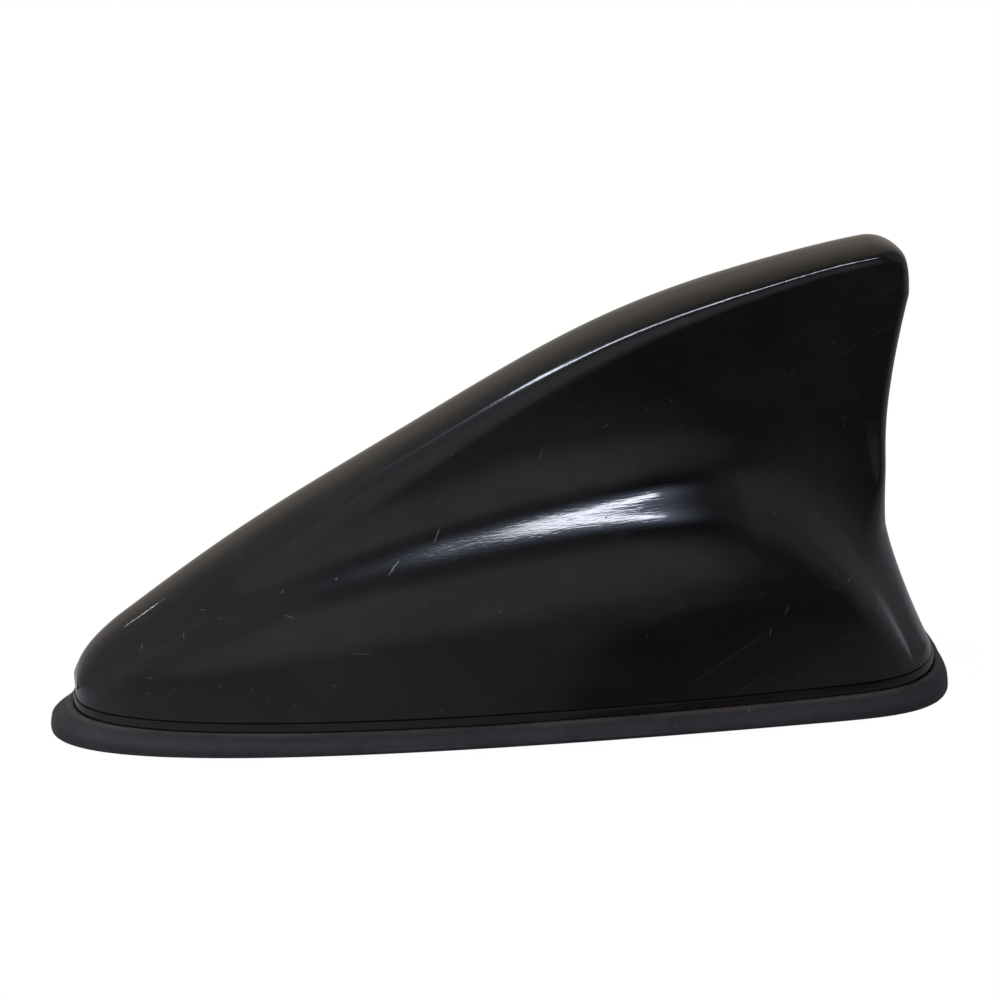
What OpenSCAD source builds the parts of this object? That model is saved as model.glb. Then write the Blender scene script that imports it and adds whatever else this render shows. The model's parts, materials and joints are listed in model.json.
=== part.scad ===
// Shark fin roof aerial: moulded cover on a cast base with a rubber skirt gasket
// Frame: nose toward -X, tail +X, width along Y, +Z up, origin at the bottom centre of the box

/* [Form] */
// half length over the gasket
half_len = 82.5; // [80:0.5:84]
// half width of the cover at its lower edge
cover_half_w = 31.3; // [30.5:0.1:32]
// height of the seam above the gasket's lowest edge
seam_z = 6.1; // [5.9:0.1:6.4]
// rise of the ridge from the nose to the tip
ridge_rise = 66.8; // [60:0.2:68]
// quick rise of the rounded nose
nose_rise = 8.2; // [7:0.1:9]
// height of the shoulder dome over the seam
dome_rise = 31.5; // [29:0.5:32]
// half thickness of the fin near its crown
fin_half_w = 8; // [7.5:0.1:8.4]
// how much the fin narrows for each mm below the crown
fin_taper = 0.05; // [0.03:0.01:0.06]
// wall thickness of the cover
wall = 2.2; // [1.8:0.1:2.3]

/* [Gasket] */
// flare of the gasket beside the cover
skirt_side = 3.6; // [3.2:0.1:4.4]
// flare of the gasket ahead of the cover's nose
skirt_nose = 4.9; // [4.4:0.1:5.6]
// flare of the gasket behind the cover's tail
skirt_tail = 2.7; // [2.5:0.1:3.4]
// rise of the gasket's underside at mid length, to follow a domed roof
roof_rise = 1.1; // [0.6:0.1:1.1]
// height of the gasket's lip on the cover
lip_z = 4.3; // [3.9:0.1:4.8]

/* [Base and mounting] */
// thickness of the cast base
base_t = 3; // [2.6:0.1:3]
// position of the mounting boss along the length
boss_x = 8; // [6:0.5:9]
// radius of the threaded hole
thread_r = 3; // [2.5:0.5:3]
// radius of the cable hole in the grommet
cable_r = 3.5; // [2.6:0.1:3.6]

/* [Electronics] */
// length of the shield can, round which the board and its other parts are laid out
can_l = 28; // [26:0.5:29]
// width of the circuit board
board_w = 32; // [31:0.5:33]
// side of the ceramic patch
patch_side = 25; // [22:0.5:25]
// turns of the helical element
coil_turns = 10; // [8:1:12]

/* [Hidden] */
gasket_half_w = cover_half_w + skirt_side;
nose_x = skirt_nose - half_len;
tail_x = half_len - skirt_tail;
tip_x = tail_x - 1.4;
stern_x = tip_x - 5.3;
widest_x = tail_x - 33.8;
peak_x = widest_x - 14;
band_out = 0.4;
seat_z = 2.6;
floor_z = seat_z + base_t;
clear = 0.1;
base_in = 3.6;
boss_z = roof_rise;
insert_top = 8.2;
board_z = 9.6;
board_t = 1.6;
deck_z = board_z + board_t;
grommet_x = 34;
patch_t = 4;
can_w = 26;
can_h = 4;
blade_t = 2;
blade_gap = 6.5;
sheet_t = 0.3;
coil_r = 4.5;
wire_r = 0.45;
coil_z0 = 19.5;
coil_z1 = 40.5;
window_z0 = 17;
window_z1 = 43;
ribs = 40;
rows_out = 24;
rows_in = 13;
can_x0 = 26 - can_l / 2;
can_x1 = 26 + can_l / 2;
fore_foot = [can_x0 - 13, can_x0 - 6];
rear_foot = [can_x1 + 3, can_x1 + 17];
coil_x = rear_foot[0] + 3;
patch_x = fore_foot[0] - 2.5 - patch_side / 2;
board_x0 = patch_x - patch_side / 2 - 7.5;
board_x1 = rear_foot[1] + 3;
board_l = board_x1 - board_x0;
rib_y = board_w / 2 - 3;
jack_y = rib_y - 4;
screw_r = 1.45;
screw_boss_r = 3;
board_screw_at = [for (x = [board_x0 + 4, board_x1 - 4]) for (y = [4 - board_w / 2, board_w / 2 - 4]) [x, y]];
carrier_screw_at = [for (x = [fore_foot[0] + 3, rear_foot[1] - 4]) for (y = [-3.2, 3.2]) [x, y]];
$fn = 48;

function within(v, lo, hi) = min(max(v, lo), hi);
function soft(v, e) = (v + sqrt(v * v + e * e)) / 2;

// height of the ridge at x, for a skin that lies o inside the outer one
function ridge_z(x, o) =
  let (q = within((x - nose_x - o) / (tip_x - nose_x - 2 * o), 0, 1))
  let (tip = within((x - tip_x + o + 7) / 7, 0, 1))
  let (lead = within(q * 12, 0, 1))
  let (t = within((q - 0.16) / 0.72, 0, 1))
  seam_z + ridge_rise * (1 - pow(1 - q, 1.62))
  + nose_rise * pow(1 - pow(1 - within(q / 0.063, 0, 1), 2), 0.29)
  - 1.05 * sin(360 * t) * sin(180 * t)
  - 0.9 * (1 - pow(1 - lead, 2)) - 1.35 * o * lead - 5.4 * (1 - sqrt(1 - tip * tip));

// x of the trailing edge at height z
function trail_x(z, o) =
  stern_x + min(tip_x - stern_x, 4.8 * pow(within((z - 28.5) / 40, 0, 2), 2))
  + (tail_x - stern_x) * pow(within((28.5 - z) / (28.5 - seam_z), 0, 2), 1.3) - o;

// half width of the base outline ahead of its rounded tail
function base_half(x, o) =
  let (a = within((widest_x - x) / (widest_x - nose_x - o), 0, 1))
  (cover_half_w - o) * pow(1 - pow(a, 2.07), 1 / 2.35);

// height of the shoulder dome at x
function dome_z(x, o) =
  let (a = within((peak_x - x) / (peak_x - nose_x - o), 0, 1))
  let (b = within((x - peak_x) / (stern_x - 0.6 - peak_x), 0, 1))
  seam_z + 2 + (dome_rise - o) * (x < peak_x ? pow(1 - pow(a, 1.7), 0.75) : 1 - pow(b, 2.83));

// half width of the scooped body at x and z
function body_half(x, z, o) =
  let (zeta = within((z - seam_z) / (dome_z(x, o) - seam_z), 0, 4))
  let (dome = pow(soft(1 - pow(zeta, 4), 0.6) / soft(1, 0.6), 1 / 1.72))
  let (sweep = pow(soft(1 - (z - seam_z) / 40.8, 0.12) / soft(1, 0.12), 1.12) * pow(within((x + 10) / 70, 0, 1), 1.2))
  let (flare = 1 - (1 - dome) * (1 - sweep))
  let (depth = max(ridge_z(x, o) - z, 0))
  let (fin = fin_half_w - 0.8 * o - fin_taper * depth * (1 - 0.58 * pow(within((x + 10) / 90, 0, 1), 2)))
  let (wide = max(base_half(x, o), fin * sqrt(within((x - nose_x - o) / 8, 0, 1))))
  let (k = pow(within((40 - z) / (40 - seam_z), 0, 1), 1.6))
  let (reach = 2.8 + (tail_x - widest_x - 2.8) * k)
  let (b = within(1 - (trail_x(z, o) - x) / reach, 0, 1))
  let (slope = ridge_z(x + 0.5, o) - ridge_z(x - 0.5, o))
  let (d = within(depth / sqrt(1 + slope * slope) / (5 - 0.03 * within(x, -40, 80)), 0, 1))
  let (crown = pow(1 - pow(1 - d, 2.4), 1 / 2.4))
  (fin + (wide - fin) * flare) * pow(1 - pow(b, 2 + 2.6 * k), 1 / (2 + 1.2 * k))
  * (1 - (1 - crown) * within((z - seam_z) / 5, 0, 1));

// places of the cover screws and the tops of their bosses, which end inside the cover's wall
function boss_top(x, y) = max([for (z = [floor_z + 8:0.3:40])
  if (min(body_half(x - 3, z, 0), body_half(x, z, 0), body_half(x + 3, z, 0)) > abs(y) + 3.3) z]);
function screw_y(x) = base_half(x, base_in) - 4.4;
cover_screw_at = [for (p = concat([[nose_x + 13.6, 0]],
  [for (x = [nose_x + 33.6, widest_x - 41]) for (s = [-1, 1]) [x, s * screw_y(x)]],
  [for (s = [-1, 1]) [stern_x - 7, s * (cover_half_w - 14.3)]])) [p[0], p[1], boss_top(p[0], p[1])]];

// share of the length at step i, closer together round the nose and the tail
function span(i) =
  let (v = i / ribs)
  let (m = (widest_x - nose_x) / (tail_x - nose_x))
  v < 0.62 ? m * (1 - pow(cos(90 * v / 0.62), 2 / 2.07))
  : m + (1 - m) * pow(sin(90 * (v - 0.62) / 0.38), 2 / 4.6);

// point of a skin: rib i, row j of n rows, ridge at row 0 and seam at row n
function skin_point(i, j, n, o) =
  let (s = span(i))
  let (xr = nose_x + o + (tip_x - nose_x - 2 * o) * s)
  let (xb = nose_x + o + (tail_x - nose_x - 2 * o) * s)
  let (top = ridge_z(xr, o))
  let (h = top - seam_z)
  let (near = min(5.2, 0.25 * h))
  let (z1 = min(dome_z(xr, o) + 8, top - near - 0.1 * h))
  let (z2 = max(dome_z(xr, o) - 9, seam_z + 0.35 * (z1 - seam_z)))
  let (t = j / n)
  let (drop = t < 0.25 ? near * pow(t / 0.25, 2)
    : t < 0.38 ? near + (top - near - z1) * (t - 0.25) / 0.13
    : t < 0.82 ? top - z1 + (z1 - z2) * (t - 0.38) / 0.44
    : top - z2 + (z2 - seam_z) * (t - 0.82) / 0.18)
  let (z = top - drop)
  let (tip_top = ridge_z(tip_x - o, o))
  let (line = tip_x - o + (tail_x - tip_x) * within((tip_top - z) / (tip_top - seam_z), 0, 1))
  let (x = xr + (xb - xr) * drop / max(h, 0.001) + pow(s, 8) * (trail_x(z, o) - line))
  [x, i == 0 || i == ribs || j == 0 ? 0 : body_half(x, z, o), z];

// one row round both sides: nose, one side, tail, other side
function ring(j, n, o) = [
  for (i = [0:ribs]) skin_point(i, j, n, o),
  for (i = [ribs - 1:-1:1]) let (p = skin_point(i, j, n, o)) [p[0], -p[1], p[2]]
];

// flat outline round the base, o inside the seam outline
function outline(o) = [for (p = ring(rows_out, rows_out, o)) [p[0], p[1]]];

// outline of the gasket at the roof
function roof_outline() =
  [for (p = outline(0)) [
    p[0] < widest_x ? widest_x - (widest_x - p[0]) * (widest_x + half_len) / (widest_x - nose_x)
      : widest_x + (p[0] - widest_x) * (half_len - widest_x) / (tail_x - widest_x),
    p[1] * gasket_half_w / cover_half_w]];

loop = 2 * ribs;

// index of point i in ring j, with the ridge row welded and the nose drawn to one point
function pick(j, i, top, last) =
  let (m = (i + loop) % loop)
  m == 0 ? last * loop : j == top && m > ribs ? top * loop + loop - m : j * loop + m;
function cell(a, b, c, d) = concat(
  a == b || b == c || a == c ? [] : [[a, b, c]],
  a == c || c == d || a == d ? [] : [[a, c, d]]);

module cover_skin() {
  // rings from the inner ridge down to the inner seam, round the skirt, up to the outer ridge
  inner = [for (j = [0:rows_in]) ring(j, rows_in, wall)];
  skirt = [
    [for (p = outline(wall)) [p[0], p[1], seat_z]],
    [for (p = outline(-band_out)) [p[0], p[1], seat_z]],
    [for (p = outline(-band_out)) [p[0], p[1], seam_z]]
  ];
  outer = [for (j = [rows_out:-1:0]) ring(j, rows_out, 0)];
  rings = concat(inner, skirt, outer);
  top_in = 0;
  end_in = rows_in;
  end_out = rows_in + 4;
  top_out = len(rings) - 1;
  function at(j, i) =
    j <= end_in ? pick(j, i, top_in, end_in) : j >= end_out ? pick(j, i, top_out, end_out)
    : j * loop + (i + loop) % loop;
  faces = [for (j = [0:top_out - 1]) for (i = [0:loop - 1])
    each cell(at(j, i), at(j, i + 1), at(j + 1, i + 1), at(j + 1, i))];
  polyhedron([for (r = rings) each r], faces);
}

module cover() {
  color([0.02, 0.02, 0.022])
  difference() {
    union() {
      cover_skin();
      for (p = cover_screw_at) {
        translate([p[0], p[1], floor_z]) cylinder(r = screw_boss_r, h = p[2] - floor_z);
      }
    }
    for (p = cover_screw_at) {
      translate([p[0], p[1], floor_z - 1]) cylinder(r = screw_r + 0.05, h = 9);
    }
  }
}

// height of the roof under the gasket at x
function roof_at(x) = roof_rise * (1 - pow(x / half_len, 2));

function mix(a, b, k) = [for (i = [0:len(a) - 1]) a[i] + (b[i] - a[i]) * k];
function level(pts, z) = [for (p = pts) [p[0], p[1], z]];
function on_roof(pts, h) = [for (p = pts) [p[0], p[1], roof_at(p[0]) + h]];

// closed tube of rings, the last ring joined to the first
module ring_solid(rings) {
  n = len(rings);
  m = len(rings[0]);
  faces = [for (j = [0:n - 1]) for (i = [0:m - 1])
    let (k = (j + 1) % n)
    let (q = (i + 1) % m)
    each [[j * m + i, j * m + q, k * m + q], [j * m + i, k * m + q, k * m + i]]];
  polyhedron([for (r = rings) each r], faces);
}

module base_gasket() {
  foot = roof_outline();
  lip = outline(-band_out - 1);
  color([0.06, 0.062, 0.066])
  ring_solid([
    on_roof(foot, 0),
    on_roof(mix(foot, lip, 0.02), 0.7),
    level(mix(foot, lip, 0.3), 2.2),
    level(mix(foot, lip, 0.68), 3.1),
    level(mix(foot, lip, 0.9), 3.7),
    level(lip, lip_z),
    level(outline(-band_out - clear), lip_z),
    level(outline(-band_out - clear), seat_z),
    level(outline(5.4), seat_z),
    on_roof(outline(5.4), 0),
    on_roof(outline(4.6), 0),
    on_roof(outline(4.2), 0.6),
    on_roof(outline(1), 0.6),
    on_roof(outline(0.4), 0)
  ]);
}

module base_plate() {
  color([0.6, 0.61, 0.62])
  difference() {
    union() {
      translate([0, 0, seat_z]) linear_extrude(base_t) polygon(outline(base_in));
      translate([boss_x, 0, boss_z]) cylinder(r = 8, h = board_z - 0.6 - boss_z);
      for (p = board_screw_at) {
        translate([p[0], p[1], floor_z - 0.5]) cylinder(r = 3, h = board_z - floor_z + 0.5);
      }
      for (y = [-rib_y, rib_y]) {
        translate([board_x0 + 12, y - 0.8, floor_z - 0.5]) cube([board_l - 18, 1.6, 2.5]);
      }
      for (x = [board_x0 + 12, board_x1 - 6]) {
        translate([x - 0.8, -rib_y - 0.8, floor_z - 0.5]) cube([1.6, 2 * rib_y + 1.6, 2.5]);
      }
    }
    translate([boss_x, 0, boss_z - 1]) cylinder(r = 4.55, h = insert_top - boss_z + 1);
    translate([grommet_x, 0, seat_z - 1]) cylinder(r = 5.5, h = base_t + 2);
    for (p = cover_screw_at) {
      translate([p[0], p[1], seat_z - 1]) cylinder(r = 1.6, h = base_t + 2);
      translate([p[0], p[1], seat_z - 1]) cylinder(r = 3.2, h = 2.6);
    }
    for (p = board_screw_at) {
      translate([p[0], p[1], floor_z + 0.4]) cylinder(r = 1.3, h = board_z);
    }
  }
}

module housing_seal() {
  color([0.09, 0.09, 0.09])
  translate([0, 0, seat_z]) linear_extrude(1.8)
  difference() {
    polygon(outline(wall + 0.15));
    polygon(outline(base_in - 0.15));
  }
}

module mounting_insert() {
  color([0.72, 0.58, 0.3])
  translate([boss_x, 0, 0])
  difference() {
    translate([0, 0, boss_z]) cylinder(r = 4.5, h = insert_top - boss_z);
    translate([0, 0, boss_z - 1]) cylinder(r = thread_r, h = 9);
    for (z = [3.2, 5.4]) {
      translate([0, 0, z]) difference() {
        cylinder(r = 5, h = 0.6);
        translate([0, 0, -1]) cylinder(r = 4.1, h = 3);
      }
    }
  }
}

module ground_ring() {
  color([0.66, 0.67, 0.69])
  translate([boss_x, 0, 0])
  difference() {
    union() {
      translate([0, 0, seat_z - 0.5]) cylinder(r = 11.8, h = 0.5);
      for (a = [0:30:330]) {
        rotate([0, 0, a]) translate([9.8, -0.6, boss_z + 0.1]) cube([1.4, 1.2, 1]);
      }
    }
    cylinder(r = 8.1, h = 6);
  }
}

module boss_gasket() {
  color([0.07, 0.07, 0.07])
  translate([boss_x, 0, boss_z + 0.05])
  difference() {
    cylinder(r = 16, h = seat_z - boss_z - 0.05);
    translate([0, 0, -1]) cylinder(r = 13, h = 4);
  }
}

module cable_grommet() {
  color([0.05, 0.05, 0.05])
  translate([grommet_x, 0, 0])
  difference() {
    union() {
      translate([0, 0, boss_z + 0.3]) cylinder(r = 7.2, h = seat_z - boss_z - 0.3);
      translate([0, 0, seat_z - 0.5]) cylinder(r = 5.4, h = base_t + 1);
      translate([0, 0, floor_z]) cylinder(r1 = 7, r2 = 6, h = 1.2);
    }
    cylinder(r = cable_r, h = 10);
  }
}

module cover_screws() {
  color([0.7, 0.7, 0.7])
  for (p = cover_screw_at) {
    translate([p[0], p[1], 0]) difference() {
      union() {
        translate([0, 0, seat_z + 0.2]) cylinder(r = 2.8, h = 1.4);
        translate([0, 0, seat_z + 1]) cylinder(r = screw_r, h = 9.6);
      }
      translate([0, 0, seat_z]) cylinder(r = 1.1, h = 1.2, $fn = 6);
    }
  }
}

module main_board() {
  c = 2;
  y1 = board_w / 2;
  color([0.05, 0.28, 0.14])
  difference() {
    translate([0, 0, board_z]) linear_extrude(board_t) polygon([
      [board_x0 + c, -y1], [board_x1 - c, -y1], [board_x1, c - y1], [board_x1, y1 - c],
      [board_x1 - c, y1], [board_x0 + c, y1], [board_x0, y1 - c], [board_x0, c - y1]
    ]);
    for (p = board_screw_at) {
      translate([p[0], p[1], board_z - 1]) cylinder(r = 1.35, h = 4);
    }
    for (p = carrier_screw_at) {
      translate([p[0], p[1], board_z - 1]) cylinder(r = 1, h = 4);
    }
    translate([patch_x, 0, board_z - 1]) cylinder(r = 0.7, h = 4);
  }
}

module board_screws() {
  color([0.72, 0.72, 0.72])
  for (p = board_screw_at) {
    translate([p[0], p[1], 0]) difference() {
      union() {
        translate([0, 0, deck_z]) cylinder(r1 = 2.3, r2 = 1.9, h = 1.5);
        translate([0, 0, floor_z + 1]) cylinder(r = 1.25, h = deck_z - floor_z - 0.5);
      }
      translate([0, 0, deck_z + 0.7]) cylinder(r = 0.9, h = 2, $fn = 6);
    }
  }
}

module shield_can() {
  color([0.74, 0.75, 0.76])
  translate([can_x0, -can_w / 2, deck_z])
  difference() {
    cube([can_l, can_w, can_h]);
    translate([0.3, 0.3, -1]) cube([can_l - 0.6, can_w - 0.6, can_h + 0.7]);
    for (i = [0:5]) for (j = [0:3]) {
      translate([(i + 1) * can_l / 7, 4 + j * 6, 1]) cylinder(r = 0.7, h = can_h);
    }
  }
}

module board_chips() {
  a = fore_foot[0];
  b = can_x1;
  color([0.08, 0.08, 0.085])
  for (c = [[a - 1, -13, 7, 7, 1.2], [b + 2, 8, 7, 6, 1.1], [can_x0 + 4, 0, 9, 9, 1.2],
    [b - 12, -8, 6, 6, 1], [b - 12, 3, 4, 5, 0.9], [b + 2, -14, 1.6, 3, 0.8], [b + 12, 7, 3, 1.6, 0.9],
    [a - 1, 11, 1.6, 3, 0.8], [a + 2, 11, 1.6, 3, 0.8], [a + 9, -13, 1.6, 3, 0.8]]) {
    translate([c[0], c[1], deck_z]) cube([c[2], c[3], c[4]]);
  }
}

module board_jacks() {
  color([0.8, 0.68, 0.35])
  for (y = [-jack_y, jack_y]) {
    translate([28, y, 0]) difference() {
      union() {
        translate([-2.2, -2.2, board_z - 1]) cube([4.4, 4.4, 1]);
        translate([0, 0, board_z - 2.6]) cylinder(r = 1.8, h = 2);
      }
      translate([0, 0, board_z - 4]) cylinder(r = 1.3, h = 3);
    }
  }
}

module slab(side, z, h) {
  translate([patch_x, 0, z]) difference() {
    translate([-side / 2, -side / 2, 0]) cube([side, side, h]);
    translate([0, 0, -1]) cylinder(r = 0.7, h = h + 2);
  }
}

module patch_pad() {
  color([0.85, 0.84, 0.8]) slab(patch_side, deck_z, 0.5);
}

module gnss_patch() {
  color([0.72, 0.66, 0.55]) slab(patch_side, deck_z + 0.5, patch_t);
}

module patch_electrode() {
  color([0.82, 0.82, 0.84]) slab(patch_side - 4, deck_z + 0.5 + patch_t, 0.15);
}

module patch_pin() {
  top = deck_z + patch_t + 0.65;
  color([0.8, 0.68, 0.35])
  translate([patch_x, 0, 0]) {
    translate([0, 0, board_z - 0.6]) cylinder(r = 0.6, h = top - board_z + 0.8);
    translate([0, 0, top]) cylinder(r1 = 1.3, r2 = 0.9, h = 0.5);
  }
}

blade_x = [for (x = [2:3:62]) x];
function blade_top(x) = ridge_z(x, 0) - blade_gap;

// plate that stands on edge: outline in x and z, thickness t centred on y
module upright(pts, y, t) {
  translate([0, y + t / 2, 0]) rotate([90, 0, 0]) linear_extrude(t) polygon(pts);
}

module antenna_carrier() {
  color([0.86, 0.86, 0.82])
  difference() {
    union() {
      upright(concat([for (x = blade_x) [x, blade_top(x)]],
        [[rear_foot[1] + 2, 40], [rear_foot[1], 30], [rear_foot[1], deck_z], [rear_foot[0], deck_z],
        [rear_foot[0], 16.4], [fore_foot[1], 16.4], [fore_foot[1], deck_z], [fore_foot[0], deck_z],
        [fore_foot[0], 30]]), 0, blade_t);
      for (f = [fore_foot, rear_foot]) {
        translate([f[0], -5, deck_z]) cube([f[1] - f[0], 10, 2]);
      }
      for (x = [20, 32]) {
        upright([[x - 1, 16.4], [x + 1, 16.4], [x + 1, 34], [x - 1, 34]], 0, 5);
      }
    }
    upright([[coil_x - 6, window_z0], [coil_x + 6, window_z0], [coil_x + 6, window_z1],
      [coil_x - 6, window_z1]], 0, 8);
    for (c = [[10, 34, 4], [26, 30, 3.4], [26, 44, 4.6], [38, 54, 4], [54, 60, 3.4]]) {
      translate([c[0], 4, c[1]]) rotate([90, 0, 0]) cylinder(r = c[2], h = 8);
    }
    for (p = carrier_screw_at) {
      translate([p[0], p[1], deck_z - 1]) cylinder(r = 1, h = 4);
    }
  }
}

module carrier_screws() {
  color([0.7, 0.7, 0.7])
  for (p = carrier_screw_at) {
    translate([p[0], p[1], 0]) difference() {
      union() {
        translate([0, 0, board_z - 0.2]) cylinder(r = 0.95, h = 4.2);
        translate([0, 0, deck_z + 2]) cylinder(r = 1.7, h = 1.2);
      }
      translate([0, 0, deck_z + 2.6]) cylinder(r = 0.8, h = 1, $fn = 6);
    }
  }
}

module coil_former() {
  color([0.9, 0.9, 0.88])
  translate([coil_x, 0, 0])
  difference() {
    union() {
      translate([0, 0, window_z0]) cylinder(r = coil_r - wire_r - 0.15, h = window_z1 - window_z0);
      translate([0, 0, window_z0]) cylinder(r = 5, h = 1);
      translate([0, 0, window_z1 - 1]) cylinder(r = 5, h = 1);
    }
    translate([0, 0, window_z0 - 1]) cylinder(r = 2.4, h = 30);
  }
}

// path of the wire: lead from the spring contact, helix, lead to the top load
function coil_path() =
  let (n = coil_turns * 16 + 8)
  concat(
    [[coil_x, -9.2, 14.06], [coil_x, -8, 14.4], [coil_x, -6, 16.4], [coil_x, -5.8, 18.3]],
    [for (i = [0:n]) let (a = i * 22.5 - 90)
      [coil_x + coil_r * cos(a), coil_r * sin(a), coil_z0 + (coil_z1 - coil_z0) * i / n]],
    [[coil_x, 5.8, 41.7], [coil_x, 5.8, 43.7], [coil_x, 1.9, 47], [coil_x, 1.75, 48], [coil_x, 1.75, 66]]);

function unit(v) = v / norm(v);

module fm_coil() {
  p = coil_path();
  n = len(p);
  rings = [for (i = [0:n - 1])
    let (t = unit(p[min(i + 1, n - 1)] - p[max(i - 1, 0)]))
    let (side = unit(cross(t, abs(t[2]) > 0.9 ? [1, 0, 0] : [0, 0, 1])))
    let (up = cross(side, t))
    [for (k = [0:5]) p[i] + wire_r * (side * cos(60 * k) + up * sin(60 * k))]];
  color([0.78, 0.45, 0.25])
  polyhedron([for (r = rings) each r], concat(
    [[for (k = [5:-1:0]) k]],
    [for (i = [0:n - 2]) for (k = [0:5]) each [
      [i * 6 + k, i * 6 + (k + 1) % 6, i * 6 + 6 + (k + 1) % 6],
      [i * 6 + k, i * 6 + 6 + (k + 1) % 6, i * 6 + 6 + k]]],
    [[for (k = [0:5]) (n - 1) * 6 + k]]));
}

module top_load() {
  xs = [for (x = blade_x) if (x >= 8) x];
  back = [for (i = [len(xs) - 1:-1:0]) xs[i]];
  color([0.76, 0.77, 0.78]) {
    upright(concat([for (x = xs) [x, blade_top(x)]], [for (x = back) [x, blade_top(x) + sheet_t]]),
      0, blade_t + 2 * sheet_t);
    for (s = [-1, 1]) {
      upright(concat([for (x = xs) [x, blade_top(x) - 5]], [for (x = back) [x, blade_top(x) + sheet_t]]),
        s * (blade_t + sheet_t) / 2, sheet_t);
    }
  }
}

module lte_blade() {
  a = fore_foot[0];
  color([0.78, 0.72, 0.5])
  difference() {
    union() {
      upright([[a, deck_z], [a + 11, deck_z], [a + 11, 24], [a + 9, 33], [a + 2, 33], [a, 28]], 6.7, 0.4);
      translate([a + 2, 6.5, deck_z]) cube([6, 3, 0.4]);
    }
    for (z = [15, 19, 23]) {
      upright([[a + 2.5, z], [a + 11.5, z], [a + 11.5, z + 1.4], [a + 2.5, z + 1.4]], 6.7, 2);
    }
    upright([[a - 1, 27], [a + 7, 27], [a + 7, 28.4], [a - 1, 28.4]], 6.7, 2);
  }
}

module contact_spring() {
  t = 0.3;
  color([0.8, 0.68, 0.35])
  translate([coil_x - 1.5, 0, 0]) rotate([90, 0, 90]) linear_extrude(3) polygon([
    [-8, deck_z], [-8, deck_z + t], [-12 + t, deck_z + t], [-12 + t, 12.5], [-8.2, 13.35],
    [-8.2, 13.65], [-9.8, 13.65], [-12, 12.9], [-12, deck_z]
  ]);
}

cover();
base_gasket();
base_plate();
housing_seal();
mounting_insert();
ground_ring();
boss_gasket();
cable_grommet();
cover_screws();
main_board();
board_screws();
shield_can();
board_chips();
board_jacks();
patch_pad();
gnss_patch();
patch_electrode();
patch_pin();
antenna_carrier();
carrier_screws();
coil_former();
fm_coil();
top_load();
lte_blade();
contact_spring();
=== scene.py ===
import json
import math

import bpy
import numpy as np
from mathutils import Matrix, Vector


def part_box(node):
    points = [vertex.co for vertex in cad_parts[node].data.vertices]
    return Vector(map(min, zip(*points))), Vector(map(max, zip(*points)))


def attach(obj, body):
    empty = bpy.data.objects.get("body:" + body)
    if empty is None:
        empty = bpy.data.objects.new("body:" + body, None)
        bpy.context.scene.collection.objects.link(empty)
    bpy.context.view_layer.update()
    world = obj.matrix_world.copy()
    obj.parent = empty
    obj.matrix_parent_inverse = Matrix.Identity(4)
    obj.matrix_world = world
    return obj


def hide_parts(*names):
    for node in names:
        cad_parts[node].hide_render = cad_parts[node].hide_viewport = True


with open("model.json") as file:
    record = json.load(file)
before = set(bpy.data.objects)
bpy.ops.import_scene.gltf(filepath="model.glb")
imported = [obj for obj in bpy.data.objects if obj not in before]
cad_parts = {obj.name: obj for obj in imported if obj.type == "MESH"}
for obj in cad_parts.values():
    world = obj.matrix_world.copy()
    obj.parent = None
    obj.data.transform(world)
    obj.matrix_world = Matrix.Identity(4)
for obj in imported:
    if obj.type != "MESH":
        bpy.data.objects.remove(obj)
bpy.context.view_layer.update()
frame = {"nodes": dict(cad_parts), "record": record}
MM = 0.001

# driving dimensions of the form in mm, as in the part's source
HALF_LEN = 82.5  # over the gasket
COVER_HALF_W = 31.3  # at the cover's lower edge
SEAM_Z = 6.1  # where the body meets the rim band
RIDGE_RISE = 66.8  # from the nose to the tip
NOSE_RISE = 8.2  # quick rise of the rounded nose
DOME_RISE = 31.5  # shoulder over the seam
FIN_HALF_W = 8.0  # near the crown
FIN_TAPER = 0.05  # for each mm below the crown
WALL = 2.2  # of the cover
SKIRT_SIDE = 3.6  # flare of the gasket beside the cover
SKIRT_NOSE = 4.9  # ahead of it
SKIRT_TAIL = 2.7  # behind it
ROOF_RISE = 1.1  # of the gasket's underside at mid length
LIP_Z = 4.3  # gasket's lip on the cover
SEAT_Z = 2.6  # cover's lower edge in the gasket
BAND_OUT = 0.4  # rim band beyond the body
BASE_T = 3.0  # cast base
BASE_IN = 3.6  # cast base inside the seam's outline

# places along the length that follow from them
NOSE_X = SKIRT_NOSE - HALF_LEN
TAIL_X = HALF_LEN - SKIRT_TAIL
TIP_X = TAIL_X - 1.4
STERN_X = TIP_X - 5.3
WIDEST_X = TAIL_X - 33.8
PEAK_X = WIDEST_X - 14

# ridge: curve of the rise, share and curve of the rounded nose, a slight wave, the rounded tip
RIDGE_CURVE = 1.62
NOSE_SHARE, NOSE_CURVE = 0.063, 0.29
WAVE, WAVE_FROM, WAVE_SPAN = 1.05, 0.16, 0.72
LEAD_RATE, LEAD_DROP, LEAD_WALL = 12, 0.9, 1.35
TIP_ROUND, TIP_DROP = 7, 5.4
# trailing edge: height of its narrowest place, lean above it, flare towards the seam
WAIST_Z, LEAN, LEAN_RISE, FOOT_CURVE = 28.5, 4.8, 40, 1.3
# outline of the base, as the powers of a rounded lens
BASE_FORE, BASE_ROUND = 2.07, 2.35
# shoulder dome: powers ahead of its peak and behind it
DOME_FORE, DOME_FORE_ROUND, DOME_AFT = 1.7, 0.75, 2.83
DOME_FOOT, DOME_SHORT = 2, 0.6
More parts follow.
